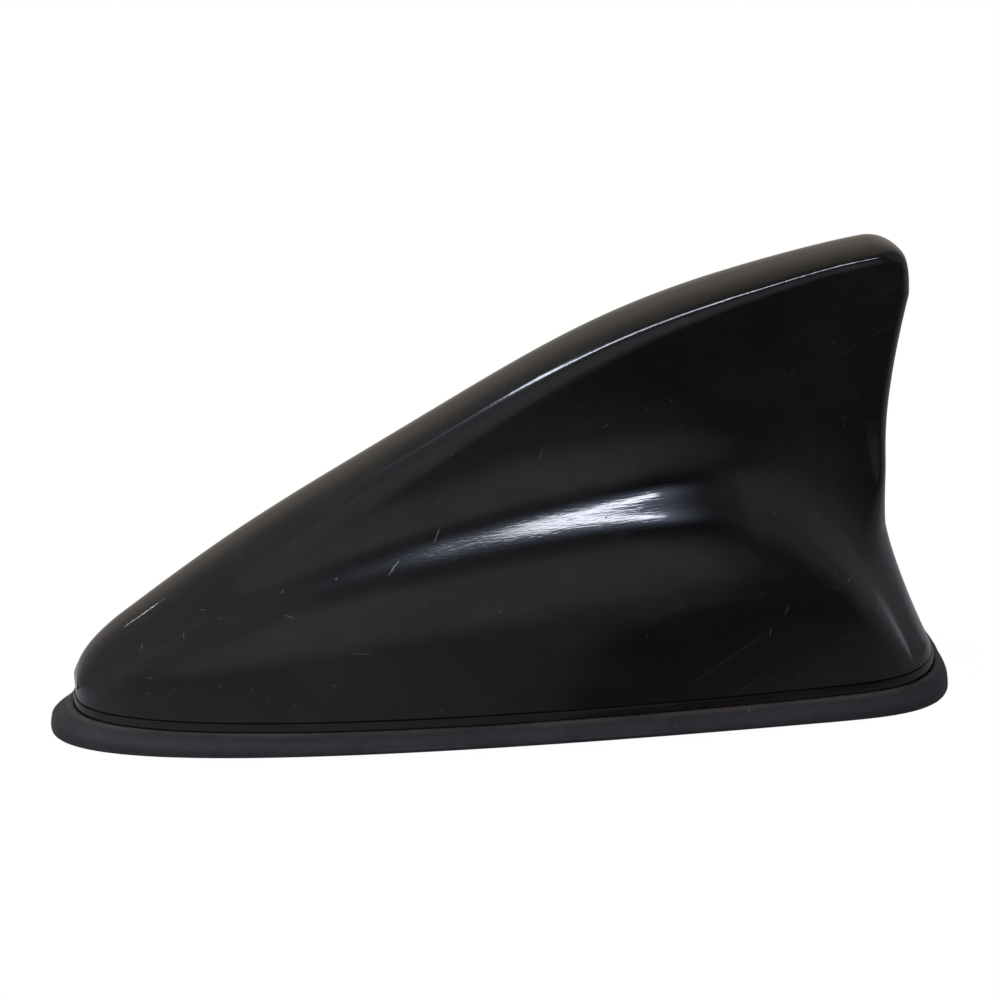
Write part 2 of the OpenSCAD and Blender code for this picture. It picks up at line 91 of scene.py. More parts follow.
# scoop between the fin and the shoulder: how softly it turns, and its upward sweep towards the tail
DOME_POWER, DOME_EASE, DOME_ROUND = 4, 0.6, 1.72
SWEEP_RISE, SWEEP_EASE, SWEEP_POWER = 40.8, 0.12, 1.12
SWEEP_FROM, SWEEP_SPAN, SWEEP_GROWTH = -10, 70, 1.2
# fin: loss of its taper towards the tail, and the blend into the nose
TAPER_LOSS, TAPER_SPAN, FIN_WALL, FIN_NOSE = 0.58, 90, 0.8, 8
# rounding of the trailing edge: reach in mm, powers at the top and what the foot adds to them
TRAIL_TOP_Z, TRAIL_GROWTH, TRAIL_REACH = 40, 1.6, 2.8
TRAIL_IN, TRAIL_IN_FOOT, TRAIL_OUT, TRAIL_OUT_FOOT = 2, 2.6, 2, 1.2
# rounding of the crown: its depth at mid length, what it loses for each mm towards the tail, its power
CROWN_DEPTH, CROWN_LOSS, CROWN_ROUND = 5, 0.03, 2.4
CROWN_FADE = 5


def within(v, lo=0.0, hi=1.0):
    return np.minimum(np.maximum(v, lo), hi)


def soft(v, ease):
    """The value where it is positive and nought where it is negative, with a rounded turn."""
    return (v + np.sqrt(v * v + ease * ease)) / 2


def ridge_z(x, inset):
    """Height of the ridge at x, for a skin that lies the inset inside the outer one."""
    run = within((x - NOSE_X - inset) / (TIP_X - NOSE_X - 2 * inset))
    lead = within(run * LEAD_RATE)
    wave = within((run - WAVE_FROM) / WAVE_SPAN)
    tip = within((x - TIP_X + inset + TIP_ROUND) / TIP_ROUND)
    return (SEAM_Z + RIDGE_RISE * (1 - (1 - run) ** RIDGE_CURVE)
            + NOSE_RISE * (1 - (1 - within(run / NOSE_SHARE)) ** 2) ** NOSE_CURVE
            - WAVE * np.sin(2 * np.pi * wave) * np.sin(np.pi * wave)
            - LEAD_DROP * (1 - (1 - lead) ** 2) - LEAD_WALL * inset * lead
            - TIP_DROP * (1 - np.sqrt(1 - tip * tip)))


def trail_x(z, inset):
    """Place of the trailing edge at height z."""
    lean = np.minimum(TIP_X - STERN_X, LEAN * within((z - WAIST_Z) / LEAN_RISE, 0, 2) ** 2)
    foot = (TAIL_X - STERN_X) * within((WAIST_Z - z) / (WAIST_Z - SEAM_Z), 0, 2) ** FOOT_CURVE
    return STERN_X + lean + foot - inset


def base_half(x, inset):
    """Half width of the base outline ahead of its rounded tail."""
    ahead = within((WIDEST_X - x) / (WIDEST_X - NOSE_X - inset))
    return (COVER_HALF_W - inset) * (1 - ahead ** BASE_FORE) ** (1 / BASE_ROUND)


def dome_z(x, inset):
    """Height of the shoulder dome at x."""
    ahead = within((PEAK_X - x) / (PEAK_X - NOSE_X - inset))
    behind = within((x - PEAK_X) / (STERN_X - DOME_SHORT - PEAK_X))
    rise = np.where(x < PEAK_X, (1 - ahead ** DOME_FORE) ** DOME_FORE_ROUND, 1 - behind ** DOME_AFT)
    return SEAM_Z + DOME_FOOT + (DOME_RISE - inset) * rise


def body_half(x, z, inset):
    """Half width of the scooped body at x and z."""
    high = within((z - SEAM_Z) / (dome_z(x, inset) - SEAM_Z), 0, 4)
    dome = (soft(1 - high ** DOME_POWER, DOME_EASE) / soft(1.0, DOME_EASE)) ** (1 / DOME_ROUND)
    sweep = (soft(1 - (z - SEAM_Z) / SWEEP_RISE, SWEEP_EASE) / soft(1, SWEEP_EASE)) ** SWEEP_POWER
    sweep = sweep * within((x - SWEEP_FROM) / SWEEP_SPAN) ** SWEEP_GROWTH
    flare = 1 - (1 - dome) * (1 - sweep)
    depth = np.maximum(ridge_z(x, inset) - z, 0)
    taper = FIN_TAPER * depth * (1 - TAPER_LOSS * within((x - SWEEP_FROM) / TAPER_SPAN) ** 2)
    fin = FIN_HALF_W - FIN_WALL * inset - taper
    wide = np.maximum(base_half(x, inset), fin * np.sqrt(within((x - NOSE_X - inset) / FIN_NOSE)))
    foot = within((TRAIL_TOP_Z - z) / (TRAIL_TOP_Z - SEAM_Z)) ** TRAIL_GROWTH
    reach = TRAIL_REACH + (TAIL_X - WIDEST_X - TRAIL_REACH) * foot
    back = within(1 - (trail_x(z, inset) - x) / reach)
    trail = (1 - back ** (TRAIL_IN + TRAIL_IN_FOOT * foot)) ** (1 / (TRAIL_OUT + TRAIL_OUT_FOOT * foot))
    slope = ridge_z(x + 0.5, inset) - ridge_z(x - 0.5, inset)
    below = within(depth / np.sqrt(1 + slope * slope) / (CROWN_DEPTH - CROWN_LOSS * within(x, -40, 80)))
    crown = (1 - (1 - below) ** CROWN_ROUND) ** (1 / CROWN_ROUND)
    return (fin + (wide - fin) * flare) * trail * (1 - (1 - crown) * within((z - SEAM_Z) / CROWN_FADE))


def rib_shares(ribs):
    """Share of the length at each rib, closer together round the nose and the tail."""
    fore, tail_power = 0.62, 4.6
    step = np.linspace(0, 1, ribs + 1)
    middle = (WIDEST_X - NOSE_X) / (TAIL_X - NOSE_X)
    lead = middle * (1 - within(np.cos(np.pi / 2 * within(step / fore))) ** (2 / BASE_FORE))
    back = middle + (1 - middle) * np.sin(np.pi / 2 * within((step - fore) / (1 - fore))) ** (2 / tail_power)
    return np.where(step < fore, lead, back)


def skin(ribs, rows, inset):
    """Ribs from the ridge to the seam, each cut into steps of its own length: array rows+1, ribs+1, 3."""
    samples, bunching, low_share, tail_only = 700, 1.5, 0.25, 8
    share = rib_shares(ribs)
    x_ridge = NOSE_X + inset + (TIP_X - NOSE_X - 2 * inset) * share
    x_base = NOSE_X + inset + (TAIL_X - NOSE_X - 2 * inset) * share
    top = ridge_z(x_ridge, inset)
    tip_top = ridge_z(np.array(TIP_X - inset), inset)
    down = np.linspace(0, 1, samples)[:, None] ** bunching
    z = top - (top - SEAM_Z) * down
    line = TIP_X - inset + (TAIL_X - TIP_X) * within((tip_top - z) / (tip_top - SEAM_Z))
    x = x_ridge + (x_base - x_ridge) * down + share ** tail_only * (trail_x(z, inset) - line)
    y = body_half(x, z, inset)
    y[0] = 0
    y[:, 0] = 0
    y[:, -1] = 0
    fine = np.stack([x, y, z], -1)
    steps = np.linalg.norm(np.diff(fine, axis=0), axis=-1)
    run = np.concatenate([np.zeros((1, ribs + 1)), np.cumsum(steps, 0)], 0)
    even = np.linspace(0, 1, rows + 1)
    even = (1 - low_share) * even + low_share * even ** 2
    out = np.zeros((rows + 1, ribs + 1, 3))
    for rib in range(ribs + 1):
        length = run[-1, rib]
        for axis in range(3):
            places = fine[:, rib, axis]
            out[:, rib, axis] = np.interp(even * length, run[:, rib], places) if length > 0 else places[0]
    return out


def both_sides(row):
    """One row round both sides: nose, one side, tail, other side."""
    other = row[-2:0:-1].copy()
    other[:, 1] *= -1
    return np.concatenate([row, other])


def seam_outline(ribs, inset):
    """Outline round the cover at the seam, the inset inside its own."""
    x = NOSE_X + inset + (TAIL_X - NOSE_X - 2 * inset) * rib_shares(ribs)
    z = np.full_like(x, SEAM_Z)
    y = body_half(x, z, inset)
    y[0] = y[-1] = 0
    return both_sides(np.stack([x, y, z], -1))


def at_level(row, z):
    """The row laid flat at one height."""
    flat = row.copy()
    flat[:, 2] = z
    return flat


def on_roof(row, above):
    """The row laid at a height above the domed roof."""
    domed = row.copy()
    domed[:, 2] = ROOF_RISE * (1 - (domed[:, 0] / HALF_LEN) ** 2) + above
    return domed


# meshes
def finish_mesh(me, mat, sharp):
    """Smooth shading with edges kept where faces meet at more than the angle, and one material."""
    me.shade_smooth()
    me.set_sharp_from_angle(angle=math.radians(sharp))
    me.materials.clear()
    me.materials.append(mat)


def add_object(name, data):
    ob = bpy.data.objects.new(name, data)
    bpy.context.scene.collection.objects.link(ob)
    return ob


def mesh_object(name, verts, faces, mat, sharp=35):
    """A mesh object from places in mm."""
    me = bpy.data.meshes.new(name)
    me.from_pydata((np.asarray(verts) * MM).tolist(), [], [tuple(int(i) for i in f) for f in faces])
    me.validate()
    me.update()
    finish_mesh(me, mat, sharp)
    return add_object(name, me)


def ring_faces(index):
    """Quads between neighbouring rows of point numbers, closed round each row, facing outwards."""
    row, below = index[:-1], index[1:]
    return np.stack([row, below, np.roll(below, -1, 1), np.roll(row, -1, 1)], -1).reshape(-1, 4)


def cover_rim(ribs):
    """Rings round the cover's lower edge, as insets and heights: inner wall, band, groove at the seam."""
    out, edge, groove_z = -BAND_OUT, 0.1, SEAM_Z - 0.2
    steps = [(WALL, SEAT_Z), (out + edge, SEAT_Z), (out, SEAT_Z + edge), (out, SEAM_Z - 0.42),
             (out + 0.06, SEAM_Z - 0.27), (out + 0.2, groove_z), (0.14, groove_z), (0.14, SEAM_Z - 0.06),
             (0.02, SEAM_Z - 0.02)]
    return [at_level(seam_outline(ribs, inset), z) for inset, z in steps]


def cover_mesh(ribs, rows, rows_in):
    """Closed shell: inner skin, rim and outer skin as stacked rings of equal count."""
    inner = [both_sides(row) for row in skin(ribs, rows_in, WALL)]
    outer = [both_sides(row) for row in skin(ribs, rows, 0)][::-1]
    rim = cover_rim(ribs)
    rings = inner + rim + outer
    start = len(inner) + len(rim)
    index = np.arange(len(rings) * 2 * ribs).reshape(len(rings), 2 * ribs)
    # the nose is one point on every row of a skin, and the two sides of the ridge share theirs
    skins = ((range(len(inner)), 0, len(inner) - 1), (range(start, len(rings)), len(rings) - 1, start))
    for rows_of_skin, ridge, seam in skins:
        for row in rows_of_skin:
            index[row, 0] = index[seam, 0]
        index[ridge, ribs + 1:] = index[ridge, 1:ribs][::-1]
    faces = [list(dict.fromkeys(int(i) for i in quad)) for quad in ring_faces(index)]
    faces = [face for face in faces if len(face) >= 3]
    verts = np.concatenate(rings)
    used = np.unique([i for face in faces for i in face])
    renumbered = np.full(len(verts), -1)
    renumbered[used] = np.arange(len(used))
    return verts[used], [[renumbered[i] for i in face] for face in faces]


def ring_solid(rings):
    """Closed solid round a hole: rings of equal count, the last joined to the first."""
    count = len(rings[0])
    index = np.arange(len(rings) * count).reshape(len(rings), count)
    return np.concatenate(rings), ring_faces(np.concatenate([index, index[:1]]))


# shader helpers
class Tree:
    """Short names for building a node tree."""

    def __init__(self, tree):
        self.t = tree

    def node(self, kind, **props):
        n = self.t.nodes.new(kind)
        for key, value in props.items():
            setattr(n, key, value)
        return n

    def put(self, socket, value):
        if isinstance(value, bpy.types.NodeSocket):
            self.t.links.new(value, socket)
        elif value is not None:
            socket.default_value = value

    def math(self, op, a, b=None, clamp=False):
        n = self.node("ShaderNodeMath", operation=op, use_clamp=clamp)
        self.put(n.inputs[0], a)
        self.put(n.inputs[1], b)
        return n.outputs[0]

    def times(self, a, b):
        return self.math("MULTIPLY", a, b)

    def vec(self, op, a, b=None, scale=None):
        n = self.node("ShaderNodeVectorMath", operation=op)
        self.put(n.inputs[0], a)
        self.put(n.inputs[1], b)
        if scale is not None:
            self.put(n.inputs["Scale"], scale)
        return n.outputs["Value"] if op in ("LENGTH", "DOT_PRODUCT") else n.outputs[0]

    def scaled(self, vector, by):
        return self.vec("SCALE", vector, scale=by)

    def ramp(self, v, lo, hi, a=0.0, b=1.0, smooth=True):
        n = self.node("ShaderNodeMapRange", interpolation_type="SMOOTHSTEP" if smooth else "LINEAR")
        for socket, value in zip(n.inputs, (v, lo, hi, a, b)):
            self.put(socket, value)
        return n.outputs[0]

    def noise(self, co, scale, detail=3.0, rough=0.55, out="Fac"):
        n = self.node("ShaderNodeTexNoise")
        for key, value in (("Vector", co), ("Scale", scale), ("Detail", detail), ("Roughness", rough)):
            self.put(n.inputs[key], value)
        return n.outputs[out]

    def mix(self, fac, a, b):
        n = self.node("ShaderNodeMix", data_type="RGBA")
        self.put(n.inputs["Factor"], fac)
        self.put(n.inputs["A"], (*a, 1) if isinstance(a, tuple) else a)
        self.put(n.inputs["B"], (*b, 1) if isinstance(b, tuple) else b)
        return n.outputs["Result"]

    def shades(self, v, stops):
        """Grey levels at places from 0 to 1, with straight runs between them."""
        n = self.node("ShaderNodeValToRGB")
        row = n.color_ramp.elements
        row[0].position, row[1].position = stops[0][0], stops[-1][0]
        for k, (place, grey) in enumerate(stops):
            at = row[0] if k == 0 else row[len(row) - 1] if k == len(stops) - 1 else row.new(place)
            at.color = (grey, grey, grey, 1)
        self.put(n.inputs[0], v)
        return n.outputs[0]

    def parts(self, vector):
        n = self.node("ShaderNodeSeparateXYZ")
        self.put(n.inputs[0], vector)
        return n.outputs

    def joined(self, x, y, z=0.0):
        n = self.node("ShaderNodeCombineXYZ")
        for socket, value in zip(n.inputs, (x, y, z)):
            self.put(socket, value)
        return n.outputs[0]

    def coords(self):
        return self.node("ShaderNodeTexCoord").outputs["Object"]

    def use(self, group, **inputs):
        """A node group with its inputs by name, in small letters; gives its first output."""
        n = self.node("ShaderNodeGroup", node_tree=group)
        for key, value in inputs.items():
            self.put(n.inputs[key.title()], value)
        return n.outputs[0]


def new_group(name, output, **inputs):
    """A shader node group with one output; an input is a vector where its value is None, or else a number."""
    kinds = {"Mask": "NodeSocketFloat", "Color": "NodeSocketColor"}
    g = bpy.data.node_groups.new(name, "ShaderNodeTree")
    for key, value in inputs.items():
        kind = "NodeSocketVector" if value is None else "NodeSocketFloat"
        socket = g.interface.new_socket(key.title(), in_out="INPUT", socket_type=kind)
        if value is not None:
            socket.default_value = value
    g.interface.new_socket(output, in_out="OUTPUT", socket_type=kinds[output])
    return g, Tree(g), g.nodes.new("NodeGroupInput").outputs, g.nodes.new("NodeGroupOutput").inputs[0]


def specks_group():
    """Small round specks in a share of the cells of a Voronoi lattice."""
    g, t, i, out = new_group("specks", "Mask", vector=None, scale=300.0, share=0.1, size=0.1)
    cells = t.node("ShaderNodeTexVoronoi")
    t.put(cells.inputs["Vector"], i["Vector"])
    t.put(cells.inputs["Scale"], i["Scale"])
    draw = t.node("ShaderNodeSeparateColor")
    t.put(draw.inputs[0], cells.outputs["Color"])
    chosen = t.math("LESS_THAN", draw.outputs[0], i["Share"])
    size = t.times(i["Size"], t.math("ADD", 0.4, draw.outputs[1]))
    t.put(out, t.times(chosen, t.ramp(cells.outputs["Distance"], size, t.times(size, 0.5))))
    return g


def scratches_group():
    """Fine scratches: thresholded noise drawn out along a turned direction, in patches."""
    wobble_scale, wobble, drawn_out, fineness = 40.0, 0.002, 0.03, 16.0
    g, t, i, out = new_group("scratches", "Mask", vector=None, turn=None, scale=60.0, share=0.3)
    turned = t.node("ShaderNodeVectorRotate", rotation_type="EULER_XYZ")
    t.put(turned.inputs["Vector"], i["Vector"])
    t.put(turned.inputs["Rotation"], i["Turn"])
    co = turned.outputs[0]
    bent = t.vec("ADD", co, t.scaled(t.noise(co, wobble_scale, 2.0, 0.5, out="Color"), wobble))
    lines = t.noise(t.vec("MULTIPLY", bent, (drawn_out, 1.0, 1.0)), t.times(i["Scale"], fineness), 2.0, 0.6)
    patch = t.noise(i["Vector"], i["Scale"], 2.0)
    low = t.math("SUBTRACT", 0.74, t.times(i["Share"], 0.2))
    t.put(out, t.times(t.ramp(lines, low, t.math("ADD", low, 0.04)), t.ramp(patch, 0.42, 0.6)))
    return g


def nick_group():
    """One short nick on the -Y side: a soft-edged stroke at X and Z, with its half length and angle."""
    half_width = 0.1 * MM
    g, t, i, out = new_group("nick", "Mask", vector=None, x=0.0, z=0.0, half=1 * MM, angle=0.0, wander=0.0,
                             before=0.0)
    x, y, z = t.parts(i["Vector"])
    dx = t.math("SUBTRACT", x, i["X"])
    dz = t.math("SUBTRACT", z, i["Z"])
    cosine, sine = t.math("COSINE", i["Angle"]), t.math("SINE", i["Angle"])
    along = t.math("ADD", t.times(dx, cosine), t.times(dz, sine))
    across = t.math("SUBTRACT", t.times(dz, cosine), t.times(dx, sine))
    a = t.math("DIVIDE", along, i["Half"])
    b = t.math("DIVIDE", t.math("ADD", across, i["Wander"]), half_width)
    away = t.math("SQRT", t.math("ADD", t.times(a, a), t.times(b, b)))
    near = t.times(t.ramp(away, 1.3, 0.5), t.math("LESS_THAN", y, 0.0))
    t.put(out, t.math("MAXIMUM", near, i["Before"]))
    return g


SPECKS = specks_group()
SCRATCHES = scratches_group()
NICK = nick_group()


# materials
def new_material(name):
    m = bpy.data.materials.new(name)
    m.use_nodes = True
    return m, Tree(m.node_tree), m.node_tree.nodes["Principled BSDF"].inputs


def bump(t, b, height, strength, distance):
    n = t.node("ShaderNodeBump")
    for key, value in (("Strength", strength), ("Distance", distance), ("Height", height)):
        t.put(n.inputs[key], value)
    t.put(b["Normal"], n.outputs[0])


# nicks seen on the shown side: x and z in mm, half length in mm, angle in degrees
NICKS = [(-65.6, 17.7, 0.5, 60), (-65.3, 10.9, 0.35, 0), (-64.7, 13.7, 0.6, 20), (-58.2, 20.3, 0.4, 80),
         (-54.4, 24.1, 0.5, 10), (-39.6, 24.4, 0.9, -15), (-53.0, 12.9, 0.4, 40), (-47.4, 12.3, 0.5, 70),
         (-44.7, 10.8, 0.3, 0), (-40.0, 9.4, 0.4, 30), (-28.0, 18.6, 2.2, -4), (45.0, 17.6, 0.9, 78),
         (48.2, 21.4, 1.0, 60), (60.4, 24.8, 0.7, 30), (66.0, 18.8, 0.6, 70), (-20.5, 31.5, 1.6, 40),
         (-12.0, 36.0, 1.2, 55), (8.0, 48.0, 1.3, 70), (20.0, 52.0, 0.8, 35), (-33.0, 13.0, 0.4, 15)]


def nick_marks(t, co):
    """All nicks as one mask, with one noise that makes their strokes wander."""
    wander = t.times(t.math("SUBTRACT", t.noise(co, 900.0), 0.5), 0.4 * MM)
    mask = 0.0
    for x, z, half, angle in NICKS:
        mask = t.use(NICK, vector=co, x=x * MM, z=z * MM, half=half * MM, angle=math.radians(angle),
                     wander=wander, before=mask)
    return mask


def cover_material():
    """Gloss black moulding with a faint film, rubbed lines, specks of dust and nicks."""
    m, t, b = new_material("cover gloss")
    co = t.coords()
    scratches = t.use(SCRATCHES, vector=co, turn=(0.3, 0.5, 0.2), scale=30.0, share=0.5)
    dust = t.use(SPECKS, vector=co, scale=620.0, share=0.1, size=0.15)
    marks = t.math("MAXIMUM", t.times(scratches, 0.1), t.times(dust, 0.4))
    marks = t.math("MAXIMUM", marks, t.times(nick_marks(t, co), 0.7), clamp=True)
    haze = t.noise(co, 55.0, 2.0, 0.6)
    cloud = t.ramp(t.noise(t.vec("MULTIPLY", co, (0.6, 1.0, 1.0)), 75.0, 3.0, 0.65), 0.42, 0.78)
    film = t.mix(cloud, (0.003, 0.003, 0.0035), (0.012, 0.0117, 0.0106))
    t.put(b["Base Color"], t.mix(marks, film, (0.1, 0.097, 0.092)))
    t.put(b["Roughness"], t.math("ADD", t.ramp(haze, 0.3, 0.7, 0.04, 0.07), t.times(marks, 0.4)))
    t.put(b["IOR"], 1.5)
    rubbed = t.noise(t.vec("MULTIPLY", co, (0.04, 1.0, 1.0)), 2600.0, 1.5, 0.65)
    wave = t.math("ADD", t.times(t.noise(co, 28.0, 0.0), 1.5), t.times(rubbed, 0.25))
    bump(t, b, wave, 0.12, 0.2 * MM)
    return m


def rubber_material():
    """Dark grey rubber with grain, pale dust and brownish dirt along the lip."""
    m, t, b = new_material("skirt rubber")
    co = t.coords()
    grain = t.noise(co, 700.0, 4.0, 0.6)
    patch = t.noise(co, 60.0, 3.0)
    by_lip = t.ramp(t.parts(co)["Z"], (LIP_Z - 0.9) * MM, LIP_Z * MM)
    dirt = t.times(by_lip, t.ramp(t.noise(co, 45.0, 4.0, 0.65), 0.34, 0.6))
    dust = t.use(SPECKS, vector=co, scale=520.0, share=0.08, size=0.18)
    base = t.mix(t.ramp(patch, 0.35, 0.7), (0.021, 0.022, 0.0245), (0.032, 0.033, 0.0355))
    base = t.mix(t.times(dirt, 0.6), base, (0.12, 0.088, 0.062))
    base = t.mix(t.times(dust, 0.4), base, (0.16, 0.14, 0.12))
    t.put(b["Base Color"], base)
    t.put(b["Roughness"], t.ramp(grain, 0.3, 0.7, 0.55, 0.7))
    bump(t, b, grain, 0.35, 0.1 * MM)
    return m


def simple_material(name, colour, rough, metal=0.0, scale=400.0, vary=0.12, relief=0.2):
    """One finish with a little variation of colour and roughness, and a fine relief."""
    m, t, b = new_material(name)
    grain = t.noise(t.coords(), scale)
    dark = tuple(c * (1 - vary) for c in colour)
    light = tuple(min(1.0, c * (1 + vary)) for c in colour)
    t.put(b["Base Color"], t.mix(t.ramp(grain, 0.3, 0.7), dark, light))
    t.put(b["Roughness"], t.ramp(grain, 0.3, 0.7, rough - 0.08, rough + 0.08))
    t.put(b["Metallic"], metal)
    if relief:
        bump(t, b, grain, relief, 0.08 * MM)
    return m


FINISHES = {
    "gloss_cover": cover_material(),
    "skirt_rubber": rubber_material(),
    "seal_foam": simple_material("soft black rubber", (0.02, 0.02, 0.021), 0.8, scale=900.0, vary=0.3,
                                 relief=0.5),
    "cast_alloy": simple_material("cast alloy", (0.5, 0.51, 0.52), 0.42, 1.0, scale=700.0, relief=0.5),
    "brass": simple_material("turned brass", (0.72, 0.5, 0.2), 0.28, 1.0),
    "zinc_steel": simple_material("zinc plated steel", (0.62, 0.63, 0.65), 0.3, 1.0),
    "tin_plate": simple_material("tin plate", (0.72, 0.72, 0.72), 0.26, 1.0, scale=120.0, vary=0.06,
                                 relief=0.0),
    "board_green": simple_material("solder mask", (0.015, 0.13, 0.05), 0.35, scale=250.0, vary=0.25),
    "chip_black": simple_material("component black", (0.03, 0.03, 0.032), 0.55, scale=1500.0, vary=0.2),
    "pad_white": simple_material("foam pad", (0.75, 0.74, 0.7), 0.8, scale=900.0, relief=0.4),
    "patch_ceramic": simple_material("fired ceramic", (0.62, 0.55, 0.42), 0.5, scale=600.0),
    "silver_foil": simple_material("fired silver", (0.8, 0.79, 0.76), 0.35, 1.0, scale=800.0),
    "frame_plastic": simple_material("natural plastic", (0.74, 0.73, 0.66), 0.45, scale=300.0, vary=0.05),
    "copper_wire": simple_material("enamelled copper", (0.65, 0.28, 0.12), 0.25, 0.9),
}


def dress_nodes():
    """Each CAD node gets the finish of its material slot."""
    slots = {part["node"]: part["material_slot"] for part in frame["record"]["subparts"]}
    for name, ob in frame["nodes"].items():
        ob.data.materials.clear()
        ob.data.materials.append(FINISHES[slots[name]])


dress_nodes()


# pieces that stand in for CAD nodes
def build_cover():
    verts, faces = cover_mesh(ribs=220, rows=150, rows_in=24)
    ob = mesh_object("cover_skin", verts, faces, FINISHES["gloss_cover"])
    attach(ob, "root")
    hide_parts("cover")


def gasket_foot(ribs):
    """The gasket's lower edge: the seam's outline drawn out to the flare of each side."""
    foot = seam_outline(ribs, 0)
    x = foot[:, 0]
    ahead = WIDEST_X - (WIDEST_X - x) * (WIDEST_X + HALF_LEN) / (WIDEST_X - NOSE_X)
    behind = WIDEST_X + (x - WIDEST_X) * (HALF_LEN - WIDEST_X) / (TAIL_X - WIDEST_X)
    foot[:, 0] = np.where(x < WIDEST_X, ahead, behind)
    foot[:, 1] *= (COVER_HALF_W + SKIRT_SIDE) / COVER_HALF_W
    return foot


def build_gasket():
    """Flared skirt: up its side to the lip, down inside the cover's edge, back over the grooved underside."""
    ribs = 200
    foot = gasket_foot(ribs)
    lip = seam_outline(ribs, -BAND_OUT - 1)
    # share of the way from foot to lip, with the height above the roof for the edge
    edge = [(0.0, 0.0), (0.004, 0.25), (0.015, 0.55)]
    flare = [(0.08, 1.65), (0.18, 2.0), (0.32, 2.35), (0.48, 2.7), (0.64, 3.05), (0.78, 3.4), (0.88, 3.7),
             (0.95, 4.0), (0.985, 4.18)]
    # inset from the seam, with the height above the roof for the underside
    shelf_in, groove_out, groove_in, groove_deep = 5.4, 1, 4.2, 0.6
    top = [(-BAND_OUT - 0.93, LIP_Z - 0.02), (-BAND_OUT - 0.8, LIP_Z), (-BAND_OUT - 0.25, LIP_Z),
           (-BAND_OUT - 0.1, LIP_Z - 0.12), (-BAND_OUT - 0.1, SEAT_Z), (shelf_in, SEAT_Z)]
    under = [(shelf_in, 0), (groove_in + 0.4, 0), (groove_in, groove_deep), (groove_out, groove_deep),
             (groove_out - 0.6, 0)]
    rings = [on_roof(foot * (1 - k) + lip * k, above) for k, above in edge]
    rings += [at_level(foot * (1 - k) + lip * k, z) for k, z in flare]
    rings += [at_level(seam_outline(ribs, inset), z) for inset, z in top]
    rings += [on_roof(seam_outline(ribs, inset), above) for inset, above in under]
    verts, faces = ring_solid(rings)
    ob = mesh_object("gasket_skirt", verts, faces, FINISHES["skirt_rubber"], sharp=50)
    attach(ob, "root")
    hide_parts("base_gasket")


class Grower(Tree):
    """A Geometry Nodes tree with named inputs, applied once to a plain mesh."""

    def __init__(self, name, **sizes):
        super().__init__(bpy.data.node_groups.new(name, "GeometryNodeTree"))
        sockets = self.t.interface
        sockets.new_socket("Geometry", in_out="INPUT", socket_type="NodeSocketGeometry")
        self.sizes = {key.replace("_", " ").title(): value for key, value in sizes.items()}
        for key in self.sizes:
            sockets.new_socket(key, in_out="INPUT", socket_type="NodeSocketFloat")
        sockets.new_socket("Geometry", in_out="OUTPUT", socket_type="NodeSocketGeometry")
        self.i = self.node("NodeGroupInput").outputs
        self.out = self.node("NodeGroupOutput").inputs[0]

    def step(self, kind, ins, **props):
        """One node with its inputs by name or number; gives its first output."""
        n = self.node(kind, **props)
        for key, value in ins.items():
            self.put(n.inputs[key], value)
        return n.outputs[0]

    def finish(self, made, name, points, edges, mat, rise=(), sharp=35):
        """Ends the tree, runs it on points in mm and gives the plain mesh object that comes out."""
        solid = self.step("GeometryNodeRealizeInstances", {0: made})
        self.put(self.out, self.step("GeometryNodeSetMaterial", {"Geometry": solid, "Material": mat}))
        start = bpy.data.meshes.new(name + "_path")
        start.from_pydata((np.asarray(points) * MM).tolist(), edges, [])
        if rise:
            start.attributes.new("rise", "FLOAT", "POINT").data.foreach_set("value", np.asarray(rise) * MM)
        ob = add_object(name + "_path", start)
        mod = ob.modifiers.new("grow", "NODES")
        mod.node_group = self.t
        for socket in self.t.interface.items_tree:
            if socket.in_out == "INPUT" and socket.name in self.sizes:
                mod[socket.identifier] = float(self.sizes[socket.name])
        me = bpy.data.meshes.new_from_object(ob.evaluated_get(bpy.context.evaluated_depsgraph_get()))
        me.name = name
        finish_mesh(me, mat, sharp)
        me.polygons.foreach_set("material_index", np.zeros(len(me.polygons), int))
        bpy.data.objects.remove(ob)
        return add_object(name, me)


def boss_top(x, y):
    """Height at which a boss ends, inside the cover's wall."""
    lowest, highest, step = SEAT_Z + BASE_T + 8, 40.01, 0.3
    boss_r, clear = 3, 0.3
    z = np.arange(lowest, highest, step)
    room = np.min([body_half(np.full_like(z, v), z, 0) for v in (x - boss_r, x, x + boss_r)], axis=0)
    return z[room > abs(y) + boss_r + clear].max()


def screw_places():
    """Places of the cover's screws as in the source, in mm."""
    nose_x, fore_x, middle_x, tail_x = NOSE_X + 13.6, NOSE_X + 33.6, WIDEST_X - 41, STERN_X - 7
    from_edge, tail_y = 4.4, COVER_HALF_W - 14.3
    at = [(nose_x, 0.0)]
    for x in (fore_x, middle_x):
        y = float(base_half(x, BASE_IN)) - from_edge
        at += [(x, -y), (x, y)]
    return at + [(tail_x, -tail_y), (tail_x, tail_y)]


